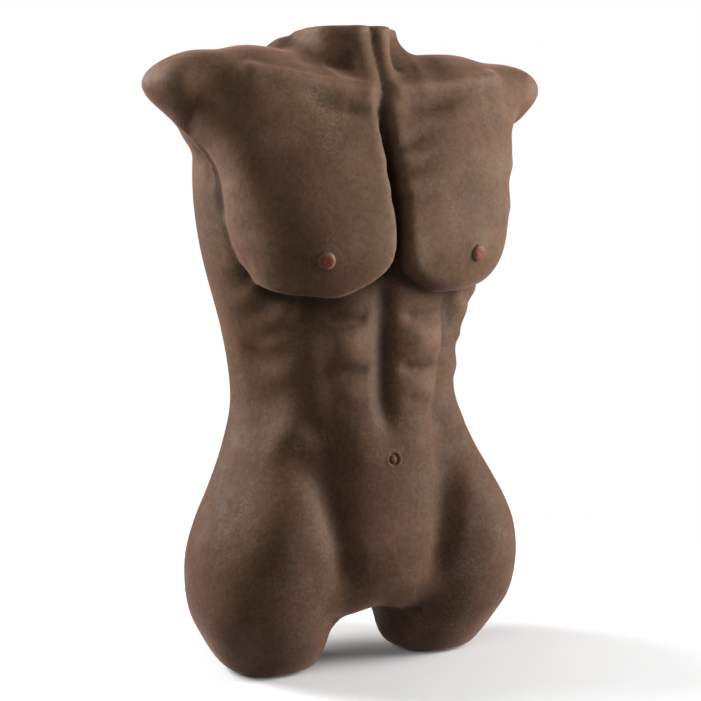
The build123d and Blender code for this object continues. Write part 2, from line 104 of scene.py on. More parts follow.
class Clay:
    """Half of the body, on the side where x is positive, as distances to its surface, negative inside."""

    def __init__(self):
        count = np.floor((GRID_HIGH - GRID_LOW) / STEP).astype(int) + 1
        self.axes = [(GRID_LOW[i] + STEP * np.arange(count[i])).astype(np.float32) for i in range(3)]
        self.d = np.full(count, FAR, np.float32)

    def window(self, low, high):
        """The part of the grid between two corners, and its x, y and z."""
        part = []
        for i in range(3):
            first = int(np.clip(math.floor((low[i] - GRID_LOW[i]) / STEP), 0, self.d.shape[i]))
            last = int(np.clip(math.ceil((high[i] - GRID_LOW[i]) / STEP) + 1, 0, self.d.shape[i]))
            part.append(slice(first, last))
        x, y, z = (self.axes[i][part[i]] for i in range(3))
        return tuple(part), x[:, None, None], y[None, :, None], z[None, None, :]

    def join(self, part, d, k):
        """Adds a shape to part of the grid, with a join softened over k."""
        self.d[part] = smooth_min(self.d[part], d, k)

    def tower(self, rows, power, k=1.0):
        """Rounded sections up a mass: height, centre x, centre y, half width, half depth."""
        r = spline(rows, 10)
        low, high = r[0, 0], r[-1, 0]
        part, x, y, z = self.window((*GRID_LOW[:2], low - 60), (*GRID_HIGH[:2], high + 60))
        at = np.clip(z.ravel(), low, high)
        columns = [np.interp(at, r[:, 0], r[:, i]) for i in (1, 2, 3, 4)]
        cx, cy, a, b = (v[None, None, :].astype(np.float32) for v in columns)
        side = section(np.abs(x - cx), np.abs(y - cy), a, b, power)
        self.join(part, np.maximum(side, np.maximum(low - z, z - high)), k)

    def beam(self, rows, power, k=1.0):
        """Rounded sections outwards: x, centre y, centre z, half depth, half height."""
        r = spline(rows, 10)
        low, high = r[0, 0], r[-1, 0]
        part, x, y, z = self.window((low - 40, GRID_LOW[1], 480), (high + 12, *GRID_HIGH[1:]))
        at = np.clip(x.ravel(), low, high)
        columns = [np.interp(at, r[:, 0], r[:, i]) for i in (1, 2, 3, 4)]
        cy, cz, a, b = (v[:, None, None].astype(np.float32) for v in columns)
        side = section(np.abs(y - cy), np.abs(z - cz), a, b, power)
        self.join(part, np.maximum(side, np.maximum(low - x, x - high)), k)

    def local(self, centre, radii, angles, scale, extra):
        """The window round a turned box, and the place of its points in the box's own axes."""
        m = turn(*angles)
        reach = np.abs(m) @ (np.array(radii, float) * scale + extra)
        c = np.array(centre, float)
        part, x, y, z = self.window(c - reach, c + reach)
        dx, dy, dz = x - c[0], y - c[1], z - c[2]
        turned = [m[0, i] * dx + m[1, i] * dy + m[2, i] * dz for i in range(3)]
        return part, [v.astype(np.float32) for v in turned]

    def ball(self, centre, radii, k, angles=(0, 0, 0)):
        """Joins an ellipsoid on, softly over k."""
        part, q = self.local(centre, radii, angles, 1.0, k + 8)
        k0 = np.sqrt(sum((q[i] / radii[i]) ** 2 for i in range(3))) + TINY
        k1 = np.sqrt(sum((q[i] / radii[i] ** 2) ** 2 for i in range(3))) + TINY
        self.join(part, k0 * (k0 - 1) / k1, k)

    def swell(self, centre, radii, amount, angles=(0, 0, 0), power=2.0):
        """Raises the surface near a place, or sinks it if the amount is negative."""
        part, q = self.local(centre, radii, angles, 2.2, 0)
        r2 = sum(np.abs(q[i] / radii[i]) ** power for i in range(3)) ** (2 / power)
        self.d[part] -= amount * np.exp(-r2)

    def line(self, points, amount, width, taper):
        """Presses a soft line in, or raises a ridge if the amount is negative.

        It fades in and out over that share of its length, the taper, at each end.
        """
        p = spline(points, 6).astype(np.float32)
        reach = 2.6 * width
        part, x, y, z = self.window(p.min(0) - reach, p.max(0) + reach)
        best = np.full(np.broadcast(x, y, z).shape, FAR**2, np.float32)
        along = np.zeros_like(best)
        for i in range(len(p) - 1):
            a, e = p[i], p[i + 1] - p[i]
            forward = (x - a[0]) * e[0] + (y - a[1]) * e[1] + (z - a[2]) * e[2]
            t = np.clip(forward / float(e @ e + 1e-9), 0, 1)
            d2 = (x - a[0] - t * e[0]) ** 2 + (y - a[1] - t * e[1]) ** 2 + (z - a[2] - t * e[2]) ** 2
            near = d2 < best
            best = np.where(near, d2, best)
            along = np.where(near, (i + t) / (len(p) - 1), along)
        fade = 1.0
        if taper:
            fade = np.clip(np.minimum(along, 1 - along) / taper, 0, 1)
            fade = fade * fade * (3 - 2 * fade)
        self.d[part] += amount * fade * np.exp(-best / width**2)


def outline_distance(x, z, points):
    """Signed distance in the front plane to a closed smooth outline, negative inside it."""
    p = spline(list(points) + [points[0]], 6)
    best = np.full(np.broadcast(x, z).shape, FAR**2, np.float32)
    inside = np.zeros(best.shape, bool)
    for (ax, az), (bx, bz) in zip(p[:-1], p[1:]):
        ex, ez = bx - ax, bz - az
        t = np.clip(((x - ax) * ex + (z - az) * ez) / (ex * ex + ez * ez + 1e-9), 0, 1)
        best = np.minimum(best, (x - ax - t * ex) ** 2 + (z - az - t * ez) ** 2)
        crosses = ((az <= z) & (bz > z)) | ((bz <= z) & (az > z))
        side = (x - ax) * ez - (z - az) * ex
        inside ^= crosses & ((side < 0) == (bz > az))
    return np.where(inside, -1.0, 1.0) * np.sqrt(best)


# ---------------------------------------------------------------- the body
def sculpt(side):
    """One half of the body, left or right. The two differ a little, as on the moulded torso."""
    c = Clay()
    # rib cage, waist and pelvis
    c.tower(
        [
            (62, 0, 6, 120, 60), (74, 0, 4, 148, 78), (92, 0, 1, 168, 90), (115, 0, -3, 184, 96),
            (146, 0, -6, 190, 99), (175, 0, -4, 182, 97), (205, 0, 0, 167, 93), (240, 0, 8, 150, 88),
            (280, 0, 15, 136, 82), (310, 0, 18, 133, 78), (350, 0, 19, 137, 80), (400, 0, 14, 148, 88),
            (450, 0, 8, 154, 96), (500, 0, 6, 154, 101), (550, 0, 6, 153, 98), (590, 0, 7, 146, 90),
            (625, 0, 6, 118, 81), (655, 0, 6, 84, 68), (680, 0, 8, 60, 60), (700, 0, 9, 54, 56),
            (712, 0, 10, 54, 55),
        ],
        2.2,
    )
    # belly wall in front of it, and the fullness of the flanks beside that
    c.tower(
        [
            (76, 0, -28, 28, 26), (98, 0, -36, 46, 46), (122, 0, -39, 60, 57), (160, 0, -40, 68, 61),
            (200, 0, -40, 72, 61), (240, 0, -40, 75, 59), (300, 0, -40, 76, 55), (350, 0, -40, 78, 56),
            (400, 0, -40, 82, 58), (450, 0, -38, 84, 60), (490, 0, -34, 84, 60),
        ],
        2.6,
        k=18,
    )
    c.tower(
        [
            (200, 84, -14, 46, 52), (240, 76, -16, 54, 60), (280, 62, -16, 54, 61), (310, 57, -16, 54, 61),
            (350, 60, -17, 54, 60), (400, 69, -19, 54, 61), (440, 77, -20, 53, 61), (470, 78, -20, 50, 56),
        ],
        2.0,
        k=16,
    )
    # thigh stumps, round at the sole
    c.tower(
        [
            (0, 103, 4, 37, 37), (6, 101, 5, 51, 51), (20, 103, 5, 61, 62), (42, 107, 3, 70, 76),
            (66, 111, 1, 77, 90), (95, 112, -1, 81, 98), (130, 111, -3, 80, 102), (165, 105, -6, 72, 98),
            (205, 96, -8, 58, 84), (240, 90, -4, 44, 62), (275, 84, 0, 28, 36),
        ],
        2.1,
        k=20,
    )
    # seat
    c.ball((76, 66, 128), (80, 68, 82), k=26)
    # back muscles that make the side's outline, and the shoulders
    c.ball((126, 14, 512), (45, 60, 112), k=30, angles=(0, 7, 0))
    c.ball((55, 38, 661), (31, 28, 33), k=10)
    c.beam(
        [
            (60, 4, 606, 80, 66), (100, 0, 612, 80, 66), (130, -2, 616, 74, 63), (160, -3, 620, 64, 52),
            (190, -4, 629, 52, 39), (210, -4, 634.5, 42, 28.5), (225, -4, 636.5, 30, 18.5),
            (233, -4, 637, 18, 10), (237.5, -4, 637, 4, 3),
        ],
        2.1,
        k=24,
    )
    chest(c, side)
    neck_and_shoulders(c, side)
    belly(c, side)
    hips(c)
    back(c)
    return c


# outline of the chest slab seen from the front, as x and z
PEC_INNER = {
    LEFT: [(2, 600), (2, 560), (4, 520), (6, 485), (8, 462), (14, 446), (28, 434), (48, 426)],
    RIGHT: [(7, 600), (8, 560), (8, 520), (7, 485), (8, 462), (14, 446), (28, 434), (48, 426)],
}
PEC_OUTER = {
    LEFT: [
        (68, 422), (86, 420), (102, 422), (118, 426), (132, 434), (141, 446), (147, 461), (151, 484),
        (155, 510), (162, 540), (172, 566),
    ],
    RIGHT: [
        (68, 420), (86, 418), (102, 419), (117, 421), (129, 425), (137, 431), (143, 440), (149, 456),
        (157, 483), (163, 508), (171, 542), (182, 568),
    ],
}
PEC_TOP = {
    LEFT: [(184, 600), (158, 640), (90, 645), (30, 640)],
    RIGHT: [(196, 600), (160, 640), (90, 645), (30, 640)],
}
# how far forward the slab reaches at these heights
CHEST_HEIGHTS = [400, 430, 455, 480, 510, 540, 570, 600, 625, 660]
CHEST_REACH = [116, 129, 136.5, 138, 134, 126, 115, 99, 84, 60]
# half widths that the front of the chest curves back to at these heights, and how square that curve is
PEC_HEIGHTS = [415, 430, 456, 500, 545, 600]
PEC_WIDTHS = {LEFT: [135, 147, 161, 171, 179, 190], RIGHT: [150, 156, 166, 174, 184, 198]}
PEC_POWER = 3.0


def ramp(v, low, high):
    """Rises smoothly from 0 at low to 1 at high."""
    t = np.clip((v - low) / (high - low), 0, 1)
    return t * t * (3 - 2 * t)


def curve(v, knots, values):
    """A smooth curve through values at knots."""
    rows = spline(list(zip(knots, values)), 8)
    return np.interp(v, rows[:, 0], rows[:, 1]).astype(np.float32)


def chest(c, side):
    """The pectorals: slabs with a rounded edge that overhangs the ribs."""
    part, x, y, z = c.window((0, -153, 370), (249, 30, 680))
    s = outline_distance(x, z, PEC_INNER[side] + PEC_OUTER[side] + PEC_TOP[side])
    front = curve(z, CHEST_HEIGHTS, CHEST_REACH)
    turn_in = curve(z, PEC_HEIGHTS, PEC_WIDTHS[side])
    wide = (1 - np.clip(x / turn_in, 0, 0.998) ** PEC_POWER) ** (1 / PEC_POWER)
    face = -y - front * wide
    # the left slab's inner edge rolls gently into the groove higher up
    soft = (7 if side == LEFT else 3) * (1 - ramp(x, 10, 60)) * ramp(z, 470, 530)
    slab = smooth_max(s, face, 9 + 8 * ramp(x, 10, 60) + soft)
    slab = np.maximum(slab, y + 20)
    c.join(part, slab, 4 + 22 * ramp(z, 545, 605) + 8 * ramp(x, 150, 180))
    # from the notch between the neck's tendons down the breastbone
    deep, width = (4.5, 5.0) if side == LEFT else (6.0, 6.5)
    c.line(
        [
            (0, -54, 712), (0, -62, 680), (0, -74, 652), (0, -84, 630), (0, -91, 606), (0, -99, 580),
            (0, -106, 550), (0, -114, 500), (0, -112, 450),
        ],
        deep,
        width,
        0.1,
    )
    # the armpit's crease behind the slab's outer edge
    out = 6 if side == RIGHT else 0
    c.line(
        [
            (124 + out, -50, 426), (134 + out, -44, 446), (142 + out, -38, 470), (152 + out, -34, 505),
            (164 + out, -32, 540), (184, -30, 588),
        ],
        6.5,
        9,
        0.2,
    )
    c.swell((146 + out, -48, 494), (20, 28, 40), 7.0)
    # the right slab's firm inner edge, and soft fullness and hollows over the slab
    if side == RIGHT:
        c.line([(13, -100, 590), (13, -112, 550), (14, -122, 505), (16, -126, 465)], -2.6, 5.5, 0.2)
    c.swell((82, -128, 470), (48, 30, 40), 2.5)
    c.swell((62, -118, 560), (30, 25, 26), 1.5)
    c.swell((128, -98, 560), (26, 25, 40), -2.0, (0, -20, 0))
    c.swell((30, -122, 500), (18, 25, 30), 1.5)
    # strands near the breastbone
    firm = 2.4 if side == LEFT else 0.7
    c.line([(-30, -112, 540), (6, -116, 543), (28, -121, 549), (66, -122, 568)], 2.3 * firm, 9, 0.5)
    c.line([(-30, -118, 512), (6, -122, 515), (28, -128, 519), (60, -131, 532)], 1.6 * firm, 8, 0.5)
    c.line([(-24, -104, 562), (8, -108, 569), (36, -109, 582), (74, -104, 604)], 2.0 * firm, 9, 0.5)
    # strands along the outer edge
    for z in (470, 500, 530):
        c.swell((150 + (z - 470) * 0.13, -58, z), (14, 28, 9), 1.8, (0, 25, 0))
    if side == LEFT:
        for x, z, amount in ((151, 508, 3.0), (156, 531, -2.0), (162, 551, 2.5)):
            c.swell((x, -74, z), (16, 26, 10), amount, (0, 20, 0))


def neck_and_shoulders(c, side):
    """The neck's tendons, the collar bones and the arms' stumps. The left shoulder is a little lower."""
    if side == LEFT:
        c.swell((138, 0, 668), (48, 90, 26), -4.5)
        c.swell((240, -4, 630), (30, 90, 34), -4.5)
        c.swell((184, -34, 587), (15, 36, 14), -14.0)
    else:
        c.swell((182, 0, 670), (26, 60, 22), 3.5)
        c.swell((177, 26, 586), (16, 32, 16), 6.0)
    # the two tendons at the front of the neck, and the hollow beside each
    c.tower(
        [
            (618, 9, -70, 10, 12), (632, 9, -68, 11, 14), (655, 10, -59, 12, 13), (680, 12, -48, 12, 13),
            (712, 13, -42, 13, 13),
        ],
        2.0,
        k=15,
    )
    if side == LEFT:
        c.line([(40, -24, 706), (32, -42, 684), (27, -56, 664), (29, -68, 648)], 5.0, 10, 0.2)
    else:
        c.tower(
            [(636, 30, -34, 16, 20), (660, 28, -26, 21, 24), (690, 28, -18, 23, 26), (712, 28, -16, 23, 26)],
            2.2,
            k=16,
        )
        c.line([(34, -52, 676), (34, -58, 662), (38, -64, 648)], 2.0, 13, 0.4)
    c.swell((60, -52, 652), (26, 20, 16), -2.5)
    # collar bones, with a hollow under the inner half of each
    c.line(
        [
            (10, -86, 626), (20, -84, 631), (38, -82, 635), (62, -82, 637), (86, -80, 640), (110, -77, 645),
            (137, -71, 650), (168, -52, 658),
        ],
        -5.0,
        8.5,
        0.12,
    )
    under = [(15, -92, 606), (30, -93, 610), (52, -91, 614), (76, -88, 619), (100, -84, 626)]
    c.line(under, 8.0 if side == RIGHT else 6.0, 10, 0.4)
    # the hollow between chest and shoulder, and the front of the arm's stump
    c.swell((173, -60, 628), (22, 24, 34), -3.0 if side == LEFT else -8.5, (0, 25, 0))
    c.swell((213, -38, 634), (20, 24, 24), 3.0 if side == LEFT else 6.5)
    c.swell((147, -72, 642), (12, 16, 14), 2.5)


def belly(c, side):
    """The midline groove, the packs beside it, and the ribs and side muscles."""
    # the midline groove, deep down to the navel
    c.line([(0, -104, 440), (0, -101, 400), (0, -98, 350), (0, -97, 305), (0, -100, 254)], 8.5, 12, 0.24)
    c.line([(0, -98, 436), (0, -94, 400), (0, -91, 350), (0, -90, 310), (0, -94, 272)], 5.5, 7, 0.18)
    # outer edge of the straight muscle
    out = 3 if side == RIGHT else -6
    c.line(
        [
            (96 + out, -86, 424), (88 + out, -84, 402), (89 + out, -80, 378), (85 + out, -80, 345),
            (84 + out, -82, 320), (77 + out, -84, 286), (72, -90, 252), (62, -97, 222),
        ],
        8.5,
        10,
        0.18,
    )
    c.swell((90 + out, -86, 392), (11, 16, 22), -4)
    c.swell((86 + out, -84, 300), (18, 18, 26), -5)
    # its cross creases and the packs between them
    c.line([(18, -99, 396), (36, -98, 392), (58, -95, 392), (78, -86, 396)], 7.5, 5.0, 0.3)
    c.line([(16, -98, 339), (34, -97, 336), (56, -95, 335), (76, -86, 336)], 10.0, 4.5, 0.26)
    c.line([(18, -98, 304), (40, -97, 300), (64, -91, 298)], 2.0, 8, 0.3)
    for x, z, width, height, amount in (
        (50, 418, 26, 17, 6.0),
        (50, 364, 26, 23, 13.5),
        (47, 313, 26, 20, 8.5),
        (40, 272, 22, 18, 3.0),
    ):
        c.swell((x, -96, z), (width, 24, height), amount, power=2.6)
    # ribs and side muscles
    c.swell((110, -62, 398), (20, 24, 14), 5.5, (0, 22, 0))
    c.swell((127, -44, 384), (15, 26, 11), 2.0, (0, 22, 0))
    c.swell((112, -46, 366), (12, 24, 10), 3.0, (0, 22, 0))
    c.swell((137, -34, 414), (14, 28, 11), 4.5, (0, 22, 0))
    c.swell((146, -30, 452), (13, 28, 12), 3.5, (0, 20, 0))
    c.line([(96, -74, 352), (110, -60, 351), (124, -34, 353), (132, 0, 360)], 4.0, 6.5, 0.35)
    c.line([(104, -76, 418), (120, -62, 420), (136, -46, 432)], 5.0, 7, 0.3)
    c.line([(106, -66, 378), (118, -52, 374), (128, -36, 368)], 1.8, 6, 0.3)
    c.swell((112, -48, 330), (17, 30, 13), 4.0)
    c.swell((104, -64, 272), (24, 26, 20), 6.5, (0, 30, 0))
    # lower belly, rounder between the groin's lines
    c.swell((0, -102, 200), (40, 26, 48), 6.0)
    c.swell((34, -100, 246), (20, 22, 18), 2.5)


def hips(c):
    """The plain closed front of the pelvis, between the groin's lines."""
    # the groin's lines, from the hip bones down the inside of each thigh
    c.line(
        [
            (124, -54, 260), (106, -74, 252), (88, -88, 236), (75, -94, 210), (67, -97, 180),
            (61, -97, 150), (56, -93, 115), (52, -82, 78),
        ],
        9.5,
        16,
        0.25,
    )
    c.swell((72, -98, 196), (18, 24, 34), -4.0, (0, 14, 0))
    c.swell((118, -80, 165), (40, 36, 58), 5.0, (0, 14, 0))
    c.swell((0, -98, 130), (34, 26, 34), 2.5)
    # the plain arch between the thighs
    c.line([(0, -110, 52), (0, -40, 58), (0, 30, 58), (0, 110, 50)], 13.0, 22, 0)


def back(c):
    """The spine's groove, the shoulder blades, the back's muscles and the seat."""
    # spine, with the two long muscles beside it
    spine = [(0, 100, 640), (0, 108, 560), (0, 104, 470), (0, 96, 380), (0, 94, 300), (0, 100, 220)]
    c.line(spine, 8.5, 12, 0.15)
    c.swell((30, 98, 290), (18, 22, 90), 7.0)
    c.swell((34, 108, 470), (22, 24, 70), 3.0)
    c.line([(60, 98, 400), (62, 94, 340), (58, 96, 280), (44, 102, 236)], 4.0, 11, 0.3)
    # shoulder blades, and the muscle that runs from them to the neck
    c.swell((84, 100, 552), (36, 26, 46), 7.0, (0, -14, 0))
    c.line([(46, 106, 596), (48, 108, 556), (58, 106, 512), (82, 98, 486), (116, 82, 484)], 5.0, 9, 0.2)
    c.line([(54, 98, 614), (92, 92, 608), (134, 76, 610)], -4.0, 9, 0.3)
    c.line([(64, 98, 594), (98, 92, 588), (136, 78, 592)], 3.5, 9, 0.3)
    c.line([(10, 108, 452), (24, 112, 500), (38, 112, 540)], 3.0, 8, 0.3)
    c.swell((140, 62, 560), (26, 26, 20), 4.0, (0, -25, 0))
    # the broad muscle's lower edge and its long outer edge
    c.line([(26, 104, 372), (52, 100, 398), (84, 90, 432), (116, 70, 462)], 3.5, 9, 0.3)
    c.line([(170, -6, 575), (164, -2, 530), (156, 0, 480), (146, 2, 430)], -2.5, 8, 0.3)
    c.line([(166, -20, 560), (158, -18, 510), (150, -16, 460)], 2.5, 8, 0.3)
    # the back of the shoulder
    c.swell((168, 44, 628), (26, 24, 24), 4.0, (0, 20, 0))
    c.line([(136, 72, 640), (142, 72, 612), (158, 58, 584)], 3.5, 9, 0.3)
    # side of the back down to the waist
    c.line([(74, 100, 420), (98, 88, 370), (104, 76, 320)], 3.0, 12, 0.3)
    # seat: the plain cleft and the fold under each side, and a hollow at its side
    c.line([(0, 112, 206), (0, 128, 170), (0, 136, 130), (0, 128, 90), (0, 100, 62)], 24.0, 12, 0.22)
    c.line([(34, 122, 74), (70, 132, 66), (108, 122, 70), (140, 92, 84)], 6.0, 10, 0.25)
    c.swell((42, 100, 212), (10, 14, 10), -2.5)
    c.swell((150, 56, 150), (30, 34, 36), -3.5)


def blurred(v):
    """A box blur over each point's neighbours."""
    for axis in range(3):
        v = (np.roll(v, 1, axis) + 2 * v + np.roll(v, -1, axis)) / 4
    return v


class Body:
    """The whole body as a field, and what is read from it at points given in metres."""

    def __init__(self, left, right):
        for i, share in enumerate((0.5, 0.33, 0.17)):  # the halves are blended in the columns next to x = 0
            a, b = left.d[i].copy(), right.d[i].copy()
            left.d[i], right.d[i] = a + share * (b - a), b + share * (a - b)
        full = np.concatenate([right.d[:0:-1], left.d], axis=0)
        full = self.lean(full, left.axes)
        z = left.axes[2][None, None, :]
        full = smooth_max(full, -z, 5.0)
        full = smooth_max(full, z - HEIGHT, 4.0)
        self.d = np.clip(full, -LIMIT, LIMIT).astype(np.float32)
        self.low = np.array([-left.axes[0][-1], left.axes[1][0], left.axes[2][0]], float)
        # bend is how sharply the surface curves outwards, and hug how much of the space nearby is filled;
        # the skin's painted highlights and shade follow them
        soft = blurred(blurred(self.d))
        bend = sum(np.roll(soft, 1, i) + np.roll(soft, -1, i) for i in range(3)) - 6 * soft
        for _ in range(5):
            bend = blurred(bend)
        self.bend = bend / STEP**2
        hug = np.clip(0.5 - self.d[::2, ::2, ::2] / (4 * STEP), 0, 1)
        for _ in range(9):
            hug = blurred(hug)
        self.hug = hug

    def lean(self, full, axes):
        """Moves the front's middle line a little to the body's right, as it runs on the moulded torso."""
        columns, spread = 72, 72  # grid columns moved on each side, and millimetres over which it dies away
        deep = axes[1] < -45
        x = np.arange(-columns, columns + 1)[:, None, None] * np.float32(STEP)
        y, z = axes[1][deep][None, :, None], axes[2][None, None, :]
        amount = curve(z, (252, 292, 330, 420, 470, 590, 632), (0, 5.5, 8, 7.5, 5.5, 5.5, 0))
        reach = np.clip(amount, 0, 8) * np.exp(-((x / spread) ** 2)) * ramp(-y, 48, 84) / STEP
        whole = np.floor(reach).astype(int)
        part = (reach - whole).astype(np.float32)
        middle = full.shape[0] // 2
        place = np.arange(middle - columns, middle + columns + 1)[:, None, None] + whole
        old = full[:, deep, :]
        new = np.take_along_axis(old, place, 0) * (1 - part) + np.take_along_axis(old, place + 1, 0) * part
        full = full.copy()
        full[middle - columns : middle + columns + 1, deep, :] = new
        return full

    def at(self, v, points, step=STEP):
        """Values of a field between its grid points."""
        g = (points / MM - self.low) / step
        g = np.clip(g, 0, np.array(v.shape) - 1.001)
        i = g.astype(int)
        f = g - i
        out = 0
        for corner in range(8):
            o = [corner >> 2 & 1, corner >> 1 & 1, corner & 1]
            w = np.prod([f[:, k] if o[k] else 1 - f[:, k] for k in range(3)], axis=0)
            out = out + w * v[i[:, 0] + o[0], i[:, 1] + o[1], i[:, 2] + o[2]]
        return out

    def normal(self, points):
        """Outward directions at points near the surface."""
        shifts = 3 * MM * np.eye(3)
        n = np.stack([self.at(self.d, points + e) - self.at(self.d, points - e) for e in shifts], axis=1)
        return n / np.linalg.norm(n, axis=1)[:, None]

    def front(self, x, z):
        """The point of the front surface at that x and z."""
        y = np.linspace(-0.15, 0.0, 300)
        line = np.stack([np.full(300, x), y, np.full(300, z)], axis=1)
        return Vector(line[np.argmax(self.at(self.d, line) < 0)])

    def mesh(self, name):
        """A new object with the surface of the field."""
        grid = openvdb.FloatGrid(LIMIT)
        grid.copyFromArray(np.ascontiguousarray(self.d))
        points, triangles, quads = grid.convertToPolygons(isovalue=0.0, adaptivity=0.0)
        mesh = bpy.data.meshes.new(name)
        faces = [f[::-1] for f in quads.tolist()] + [f[::-1] for f in triangles.tolist()]
        mesh.from_pydata(((points * STEP + self.low) * MM).tolist(), [], faces)
        mesh.validate()
        piece = bpy.data.objects.new(name, mesh)
        bpy.context.scene.collection.objects.link(piece)
        return piece


def refine(mesh, centre, radius, cuts, height):
    """Splits the faces near a place, evens them out, and moves them out by height(distance in mm)."""
    bm = bmesh.new()
    bm.from_mesh(mesh)
    near = [f for f in bm.faces if (f.calc_center_median() - centre).length < radius * MM]
    edges = list({e for f in near for e in f.edges})
    bmesh.ops.subdivide_edges(bm, edges=edges, cuts=cuts, use_grid_fill=True)
    inner = [v for v in bm.verts if (v.co - centre).length < (radius - 1.5) * MM]
    for _ in range(6):
        bmesh.ops.smooth_vert(
            bm, verts=inner, factor=0.5, use_axis_x=True, use_axis_y=True, use_axis_z=True
        )
    bm.normal_update()
    moves = [(v, v.normal.copy(), height((v.co - centre) / MM)) for v in inner]
    for v, normal, amount in moves:
        v.co += normal * amount * MM
    bm.to_mesh(mesh)
    bm.free()


def bell(r, middle, width):
    return math.exp(-(((r - middle) / width) ** 2))


def navel(v):
    """A raised button in a ring-shaped groove, with a low rim outside it."""
    r = math.hypot(v.x, v.z * 0.92)
    return 1.0 * bell(r, 0, 2.8) - 2.0 * bell(r, 4.9, 1.25) + 0.5 * bell(r, 7.4, 1.6)


def mound(v):
    """A low mound that the nipple stands on."""
    return 0.9 * bell(v.length, 0, 11.0)


# the openings for the base pads, in metres
PAD_X = 0.106
PAD_HOLE_RADIUS = 0.0283
PAD_HOLE_DEPTH = 0.0065


def cut_pad_hole(piece, x):
    """A round opening in the sole, just wider than the pad."""
    bpy.ops.mesh.primitive_cylinder_add(
        vertices=96, radius=PAD_HOLE_RADIUS, depth=2 * PAD_HOLE_DEPTH, location=(x, 0, 0)
    )
    cutter = bpy.context.object
    change = piece.modifiers.new("hole", "BOOLEAN")
    change.operation = "DIFFERENCE"
    change.solver = "EXACT"
    change.object = cutter
    bpy.context.view_layer.update()
    graph = bpy.context.evaluated_depsgraph_get()
    cut = bpy.data.meshes.new_from_object(piece.evaluated_get(graph))
    piece.modifiers.clear()
    piece.data = cut
    bpy.data.objects.remove(cutter)


# x from the middle, and z, in metres
NAVEL = (0.0, 0.241)
NIPPLES = {LEFT: (0.0862, 0.4595), RIGHT: (0.0915, 0.456)}

body = Body(sculpt(LEFT), sculpt(RIGHT))
skin = body.mesh("moulded_skin")
cut_pad_hole(skin, PAD_X)
cut_pad_hole(skin, -PAD_X)
refine(skin.data, body.front(*NAVEL), 15, 3, navel)
for side in (LEFT, RIGHT):
    refine(skin.data, body.front(side * NIPPLES[side][0], NIPPLES[side][1]), 18, 2, mound)
skin.data.shade_smooth()
skin.data.set_sharp_from_angle(angle=math.radians(50))
where = np.empty(len(skin.data.vertices) * 3)
skin.data.vertices.foreach_get("co", where)
where = where.reshape(-1, 3)
# how ridged and how enclosed the surface is at each point, which the material's tones follow: painted
# highlights on ridges, painted shade in creases and hollows
painted_relief_light = skin.data.attributes.new("painted_relief_light", "FLOAT", "POINT")
painted_relief_light.data.foreach_set("value", np.clip(0.5 + 6 * (body.at(body.bend, where) - 0.014), 0, 1))
hollow_shade = skin.data.attributes.new("hollow_shade", "FLOAT", "POINT")
hollow_shade.data.foreach_set("value", body.at(body.hug, where, 2 * STEP))
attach(skin, "root")
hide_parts("torso_skin")


# millimetres: the foot is the flat underside, inside the skin
NIPPLE_RADIUS = 9.7
NIPPLE_FOOT = -4.0
NIPPLE_LIFT = 0.6


def nipple(name, side, node):
    """A low dome with a rounded rim and a slight dip in its top, set along the skin's normal."""
    dome = [
        (0.0, 3.7), (2.0, 3.8), (4.0, 3.8), (6.0, 3.4), (7.6, 2.6), (8.7, 1.4), (9.3, 0.2),
        (NIPPLE_RADIUS, -1.4),
    ]
    rows = spline(dome, 4).tolist() + [[NIPPLE_RADIUS, NIPPLE_FOOT], [0.0, NIPPLE_FOOT]]
    around = 48
    points = []
    for r, h in rows[1:-1]:
        for i in range(around):
            a = math.tau * i / around
            rough = 1 + 0.015 * math.sin(3 * a + 1.3 * side) + 0.01 * math.sin(7 * a)
            points.append((r * rough, h + 0.06 * math.sin(5 * a + r), a))
    corners = [Vector((r * math.cos(a), r * math.sin(a), h)) for r, h, a in points]
    corners += [Vector((0, 0, rows[0][1])), Vector((0, 0, rows[-1][1]))]
    rings = len(rows) - 2
    faces = []
    for i in range(around):
        j = (i + 1) % around
        for k in range(rings - 1):
            this, below = k * around, (k + 1) * around
            faces.append((this + j, this + i, below + i, below + j))
        faces.append((len(corners) - 2, i, j))
        faces.append((len(corners) - 1, (rings - 1) * around + j, (rings - 1) * around + i))
    spot = body.front(side * NIPPLES[side][0], NIPPLES[side][1])
    out = Vector(body.normal(np.array([spot]))[0])
    spot += out * NIPPLE_LIFT * MM
    turned = out.to_track_quat("Z", "Y").to_matrix()
    mesh = bpy.data.meshes.new(name)
    mesh.from_pydata([spot + turned @ (v * MM) for v in corners], [], faces)
    mesh.validate()
    mesh.shade_smooth()
    mesh.set_sharp_from_angle(angle=math.radians(60))
    rim = mesh.attributes.new("rim", "FLOAT", "POINT")
    rim.data.foreach_set("value", [math.hypot(v.x, v.y) / NIPPLE_RADIUS for v in corners])
    piece = bpy.data.objects.new(name, mesh)
    bpy.context.scene.collection.objects.link(piece)
    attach(piece, "root")
    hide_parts(node)
    return piece


nipples = [
    nipple("nipple_dome_left", LEFT, "nipple_left"),
    nipple("nipple_dome_right", RIGHT, "nipple_right"),
]


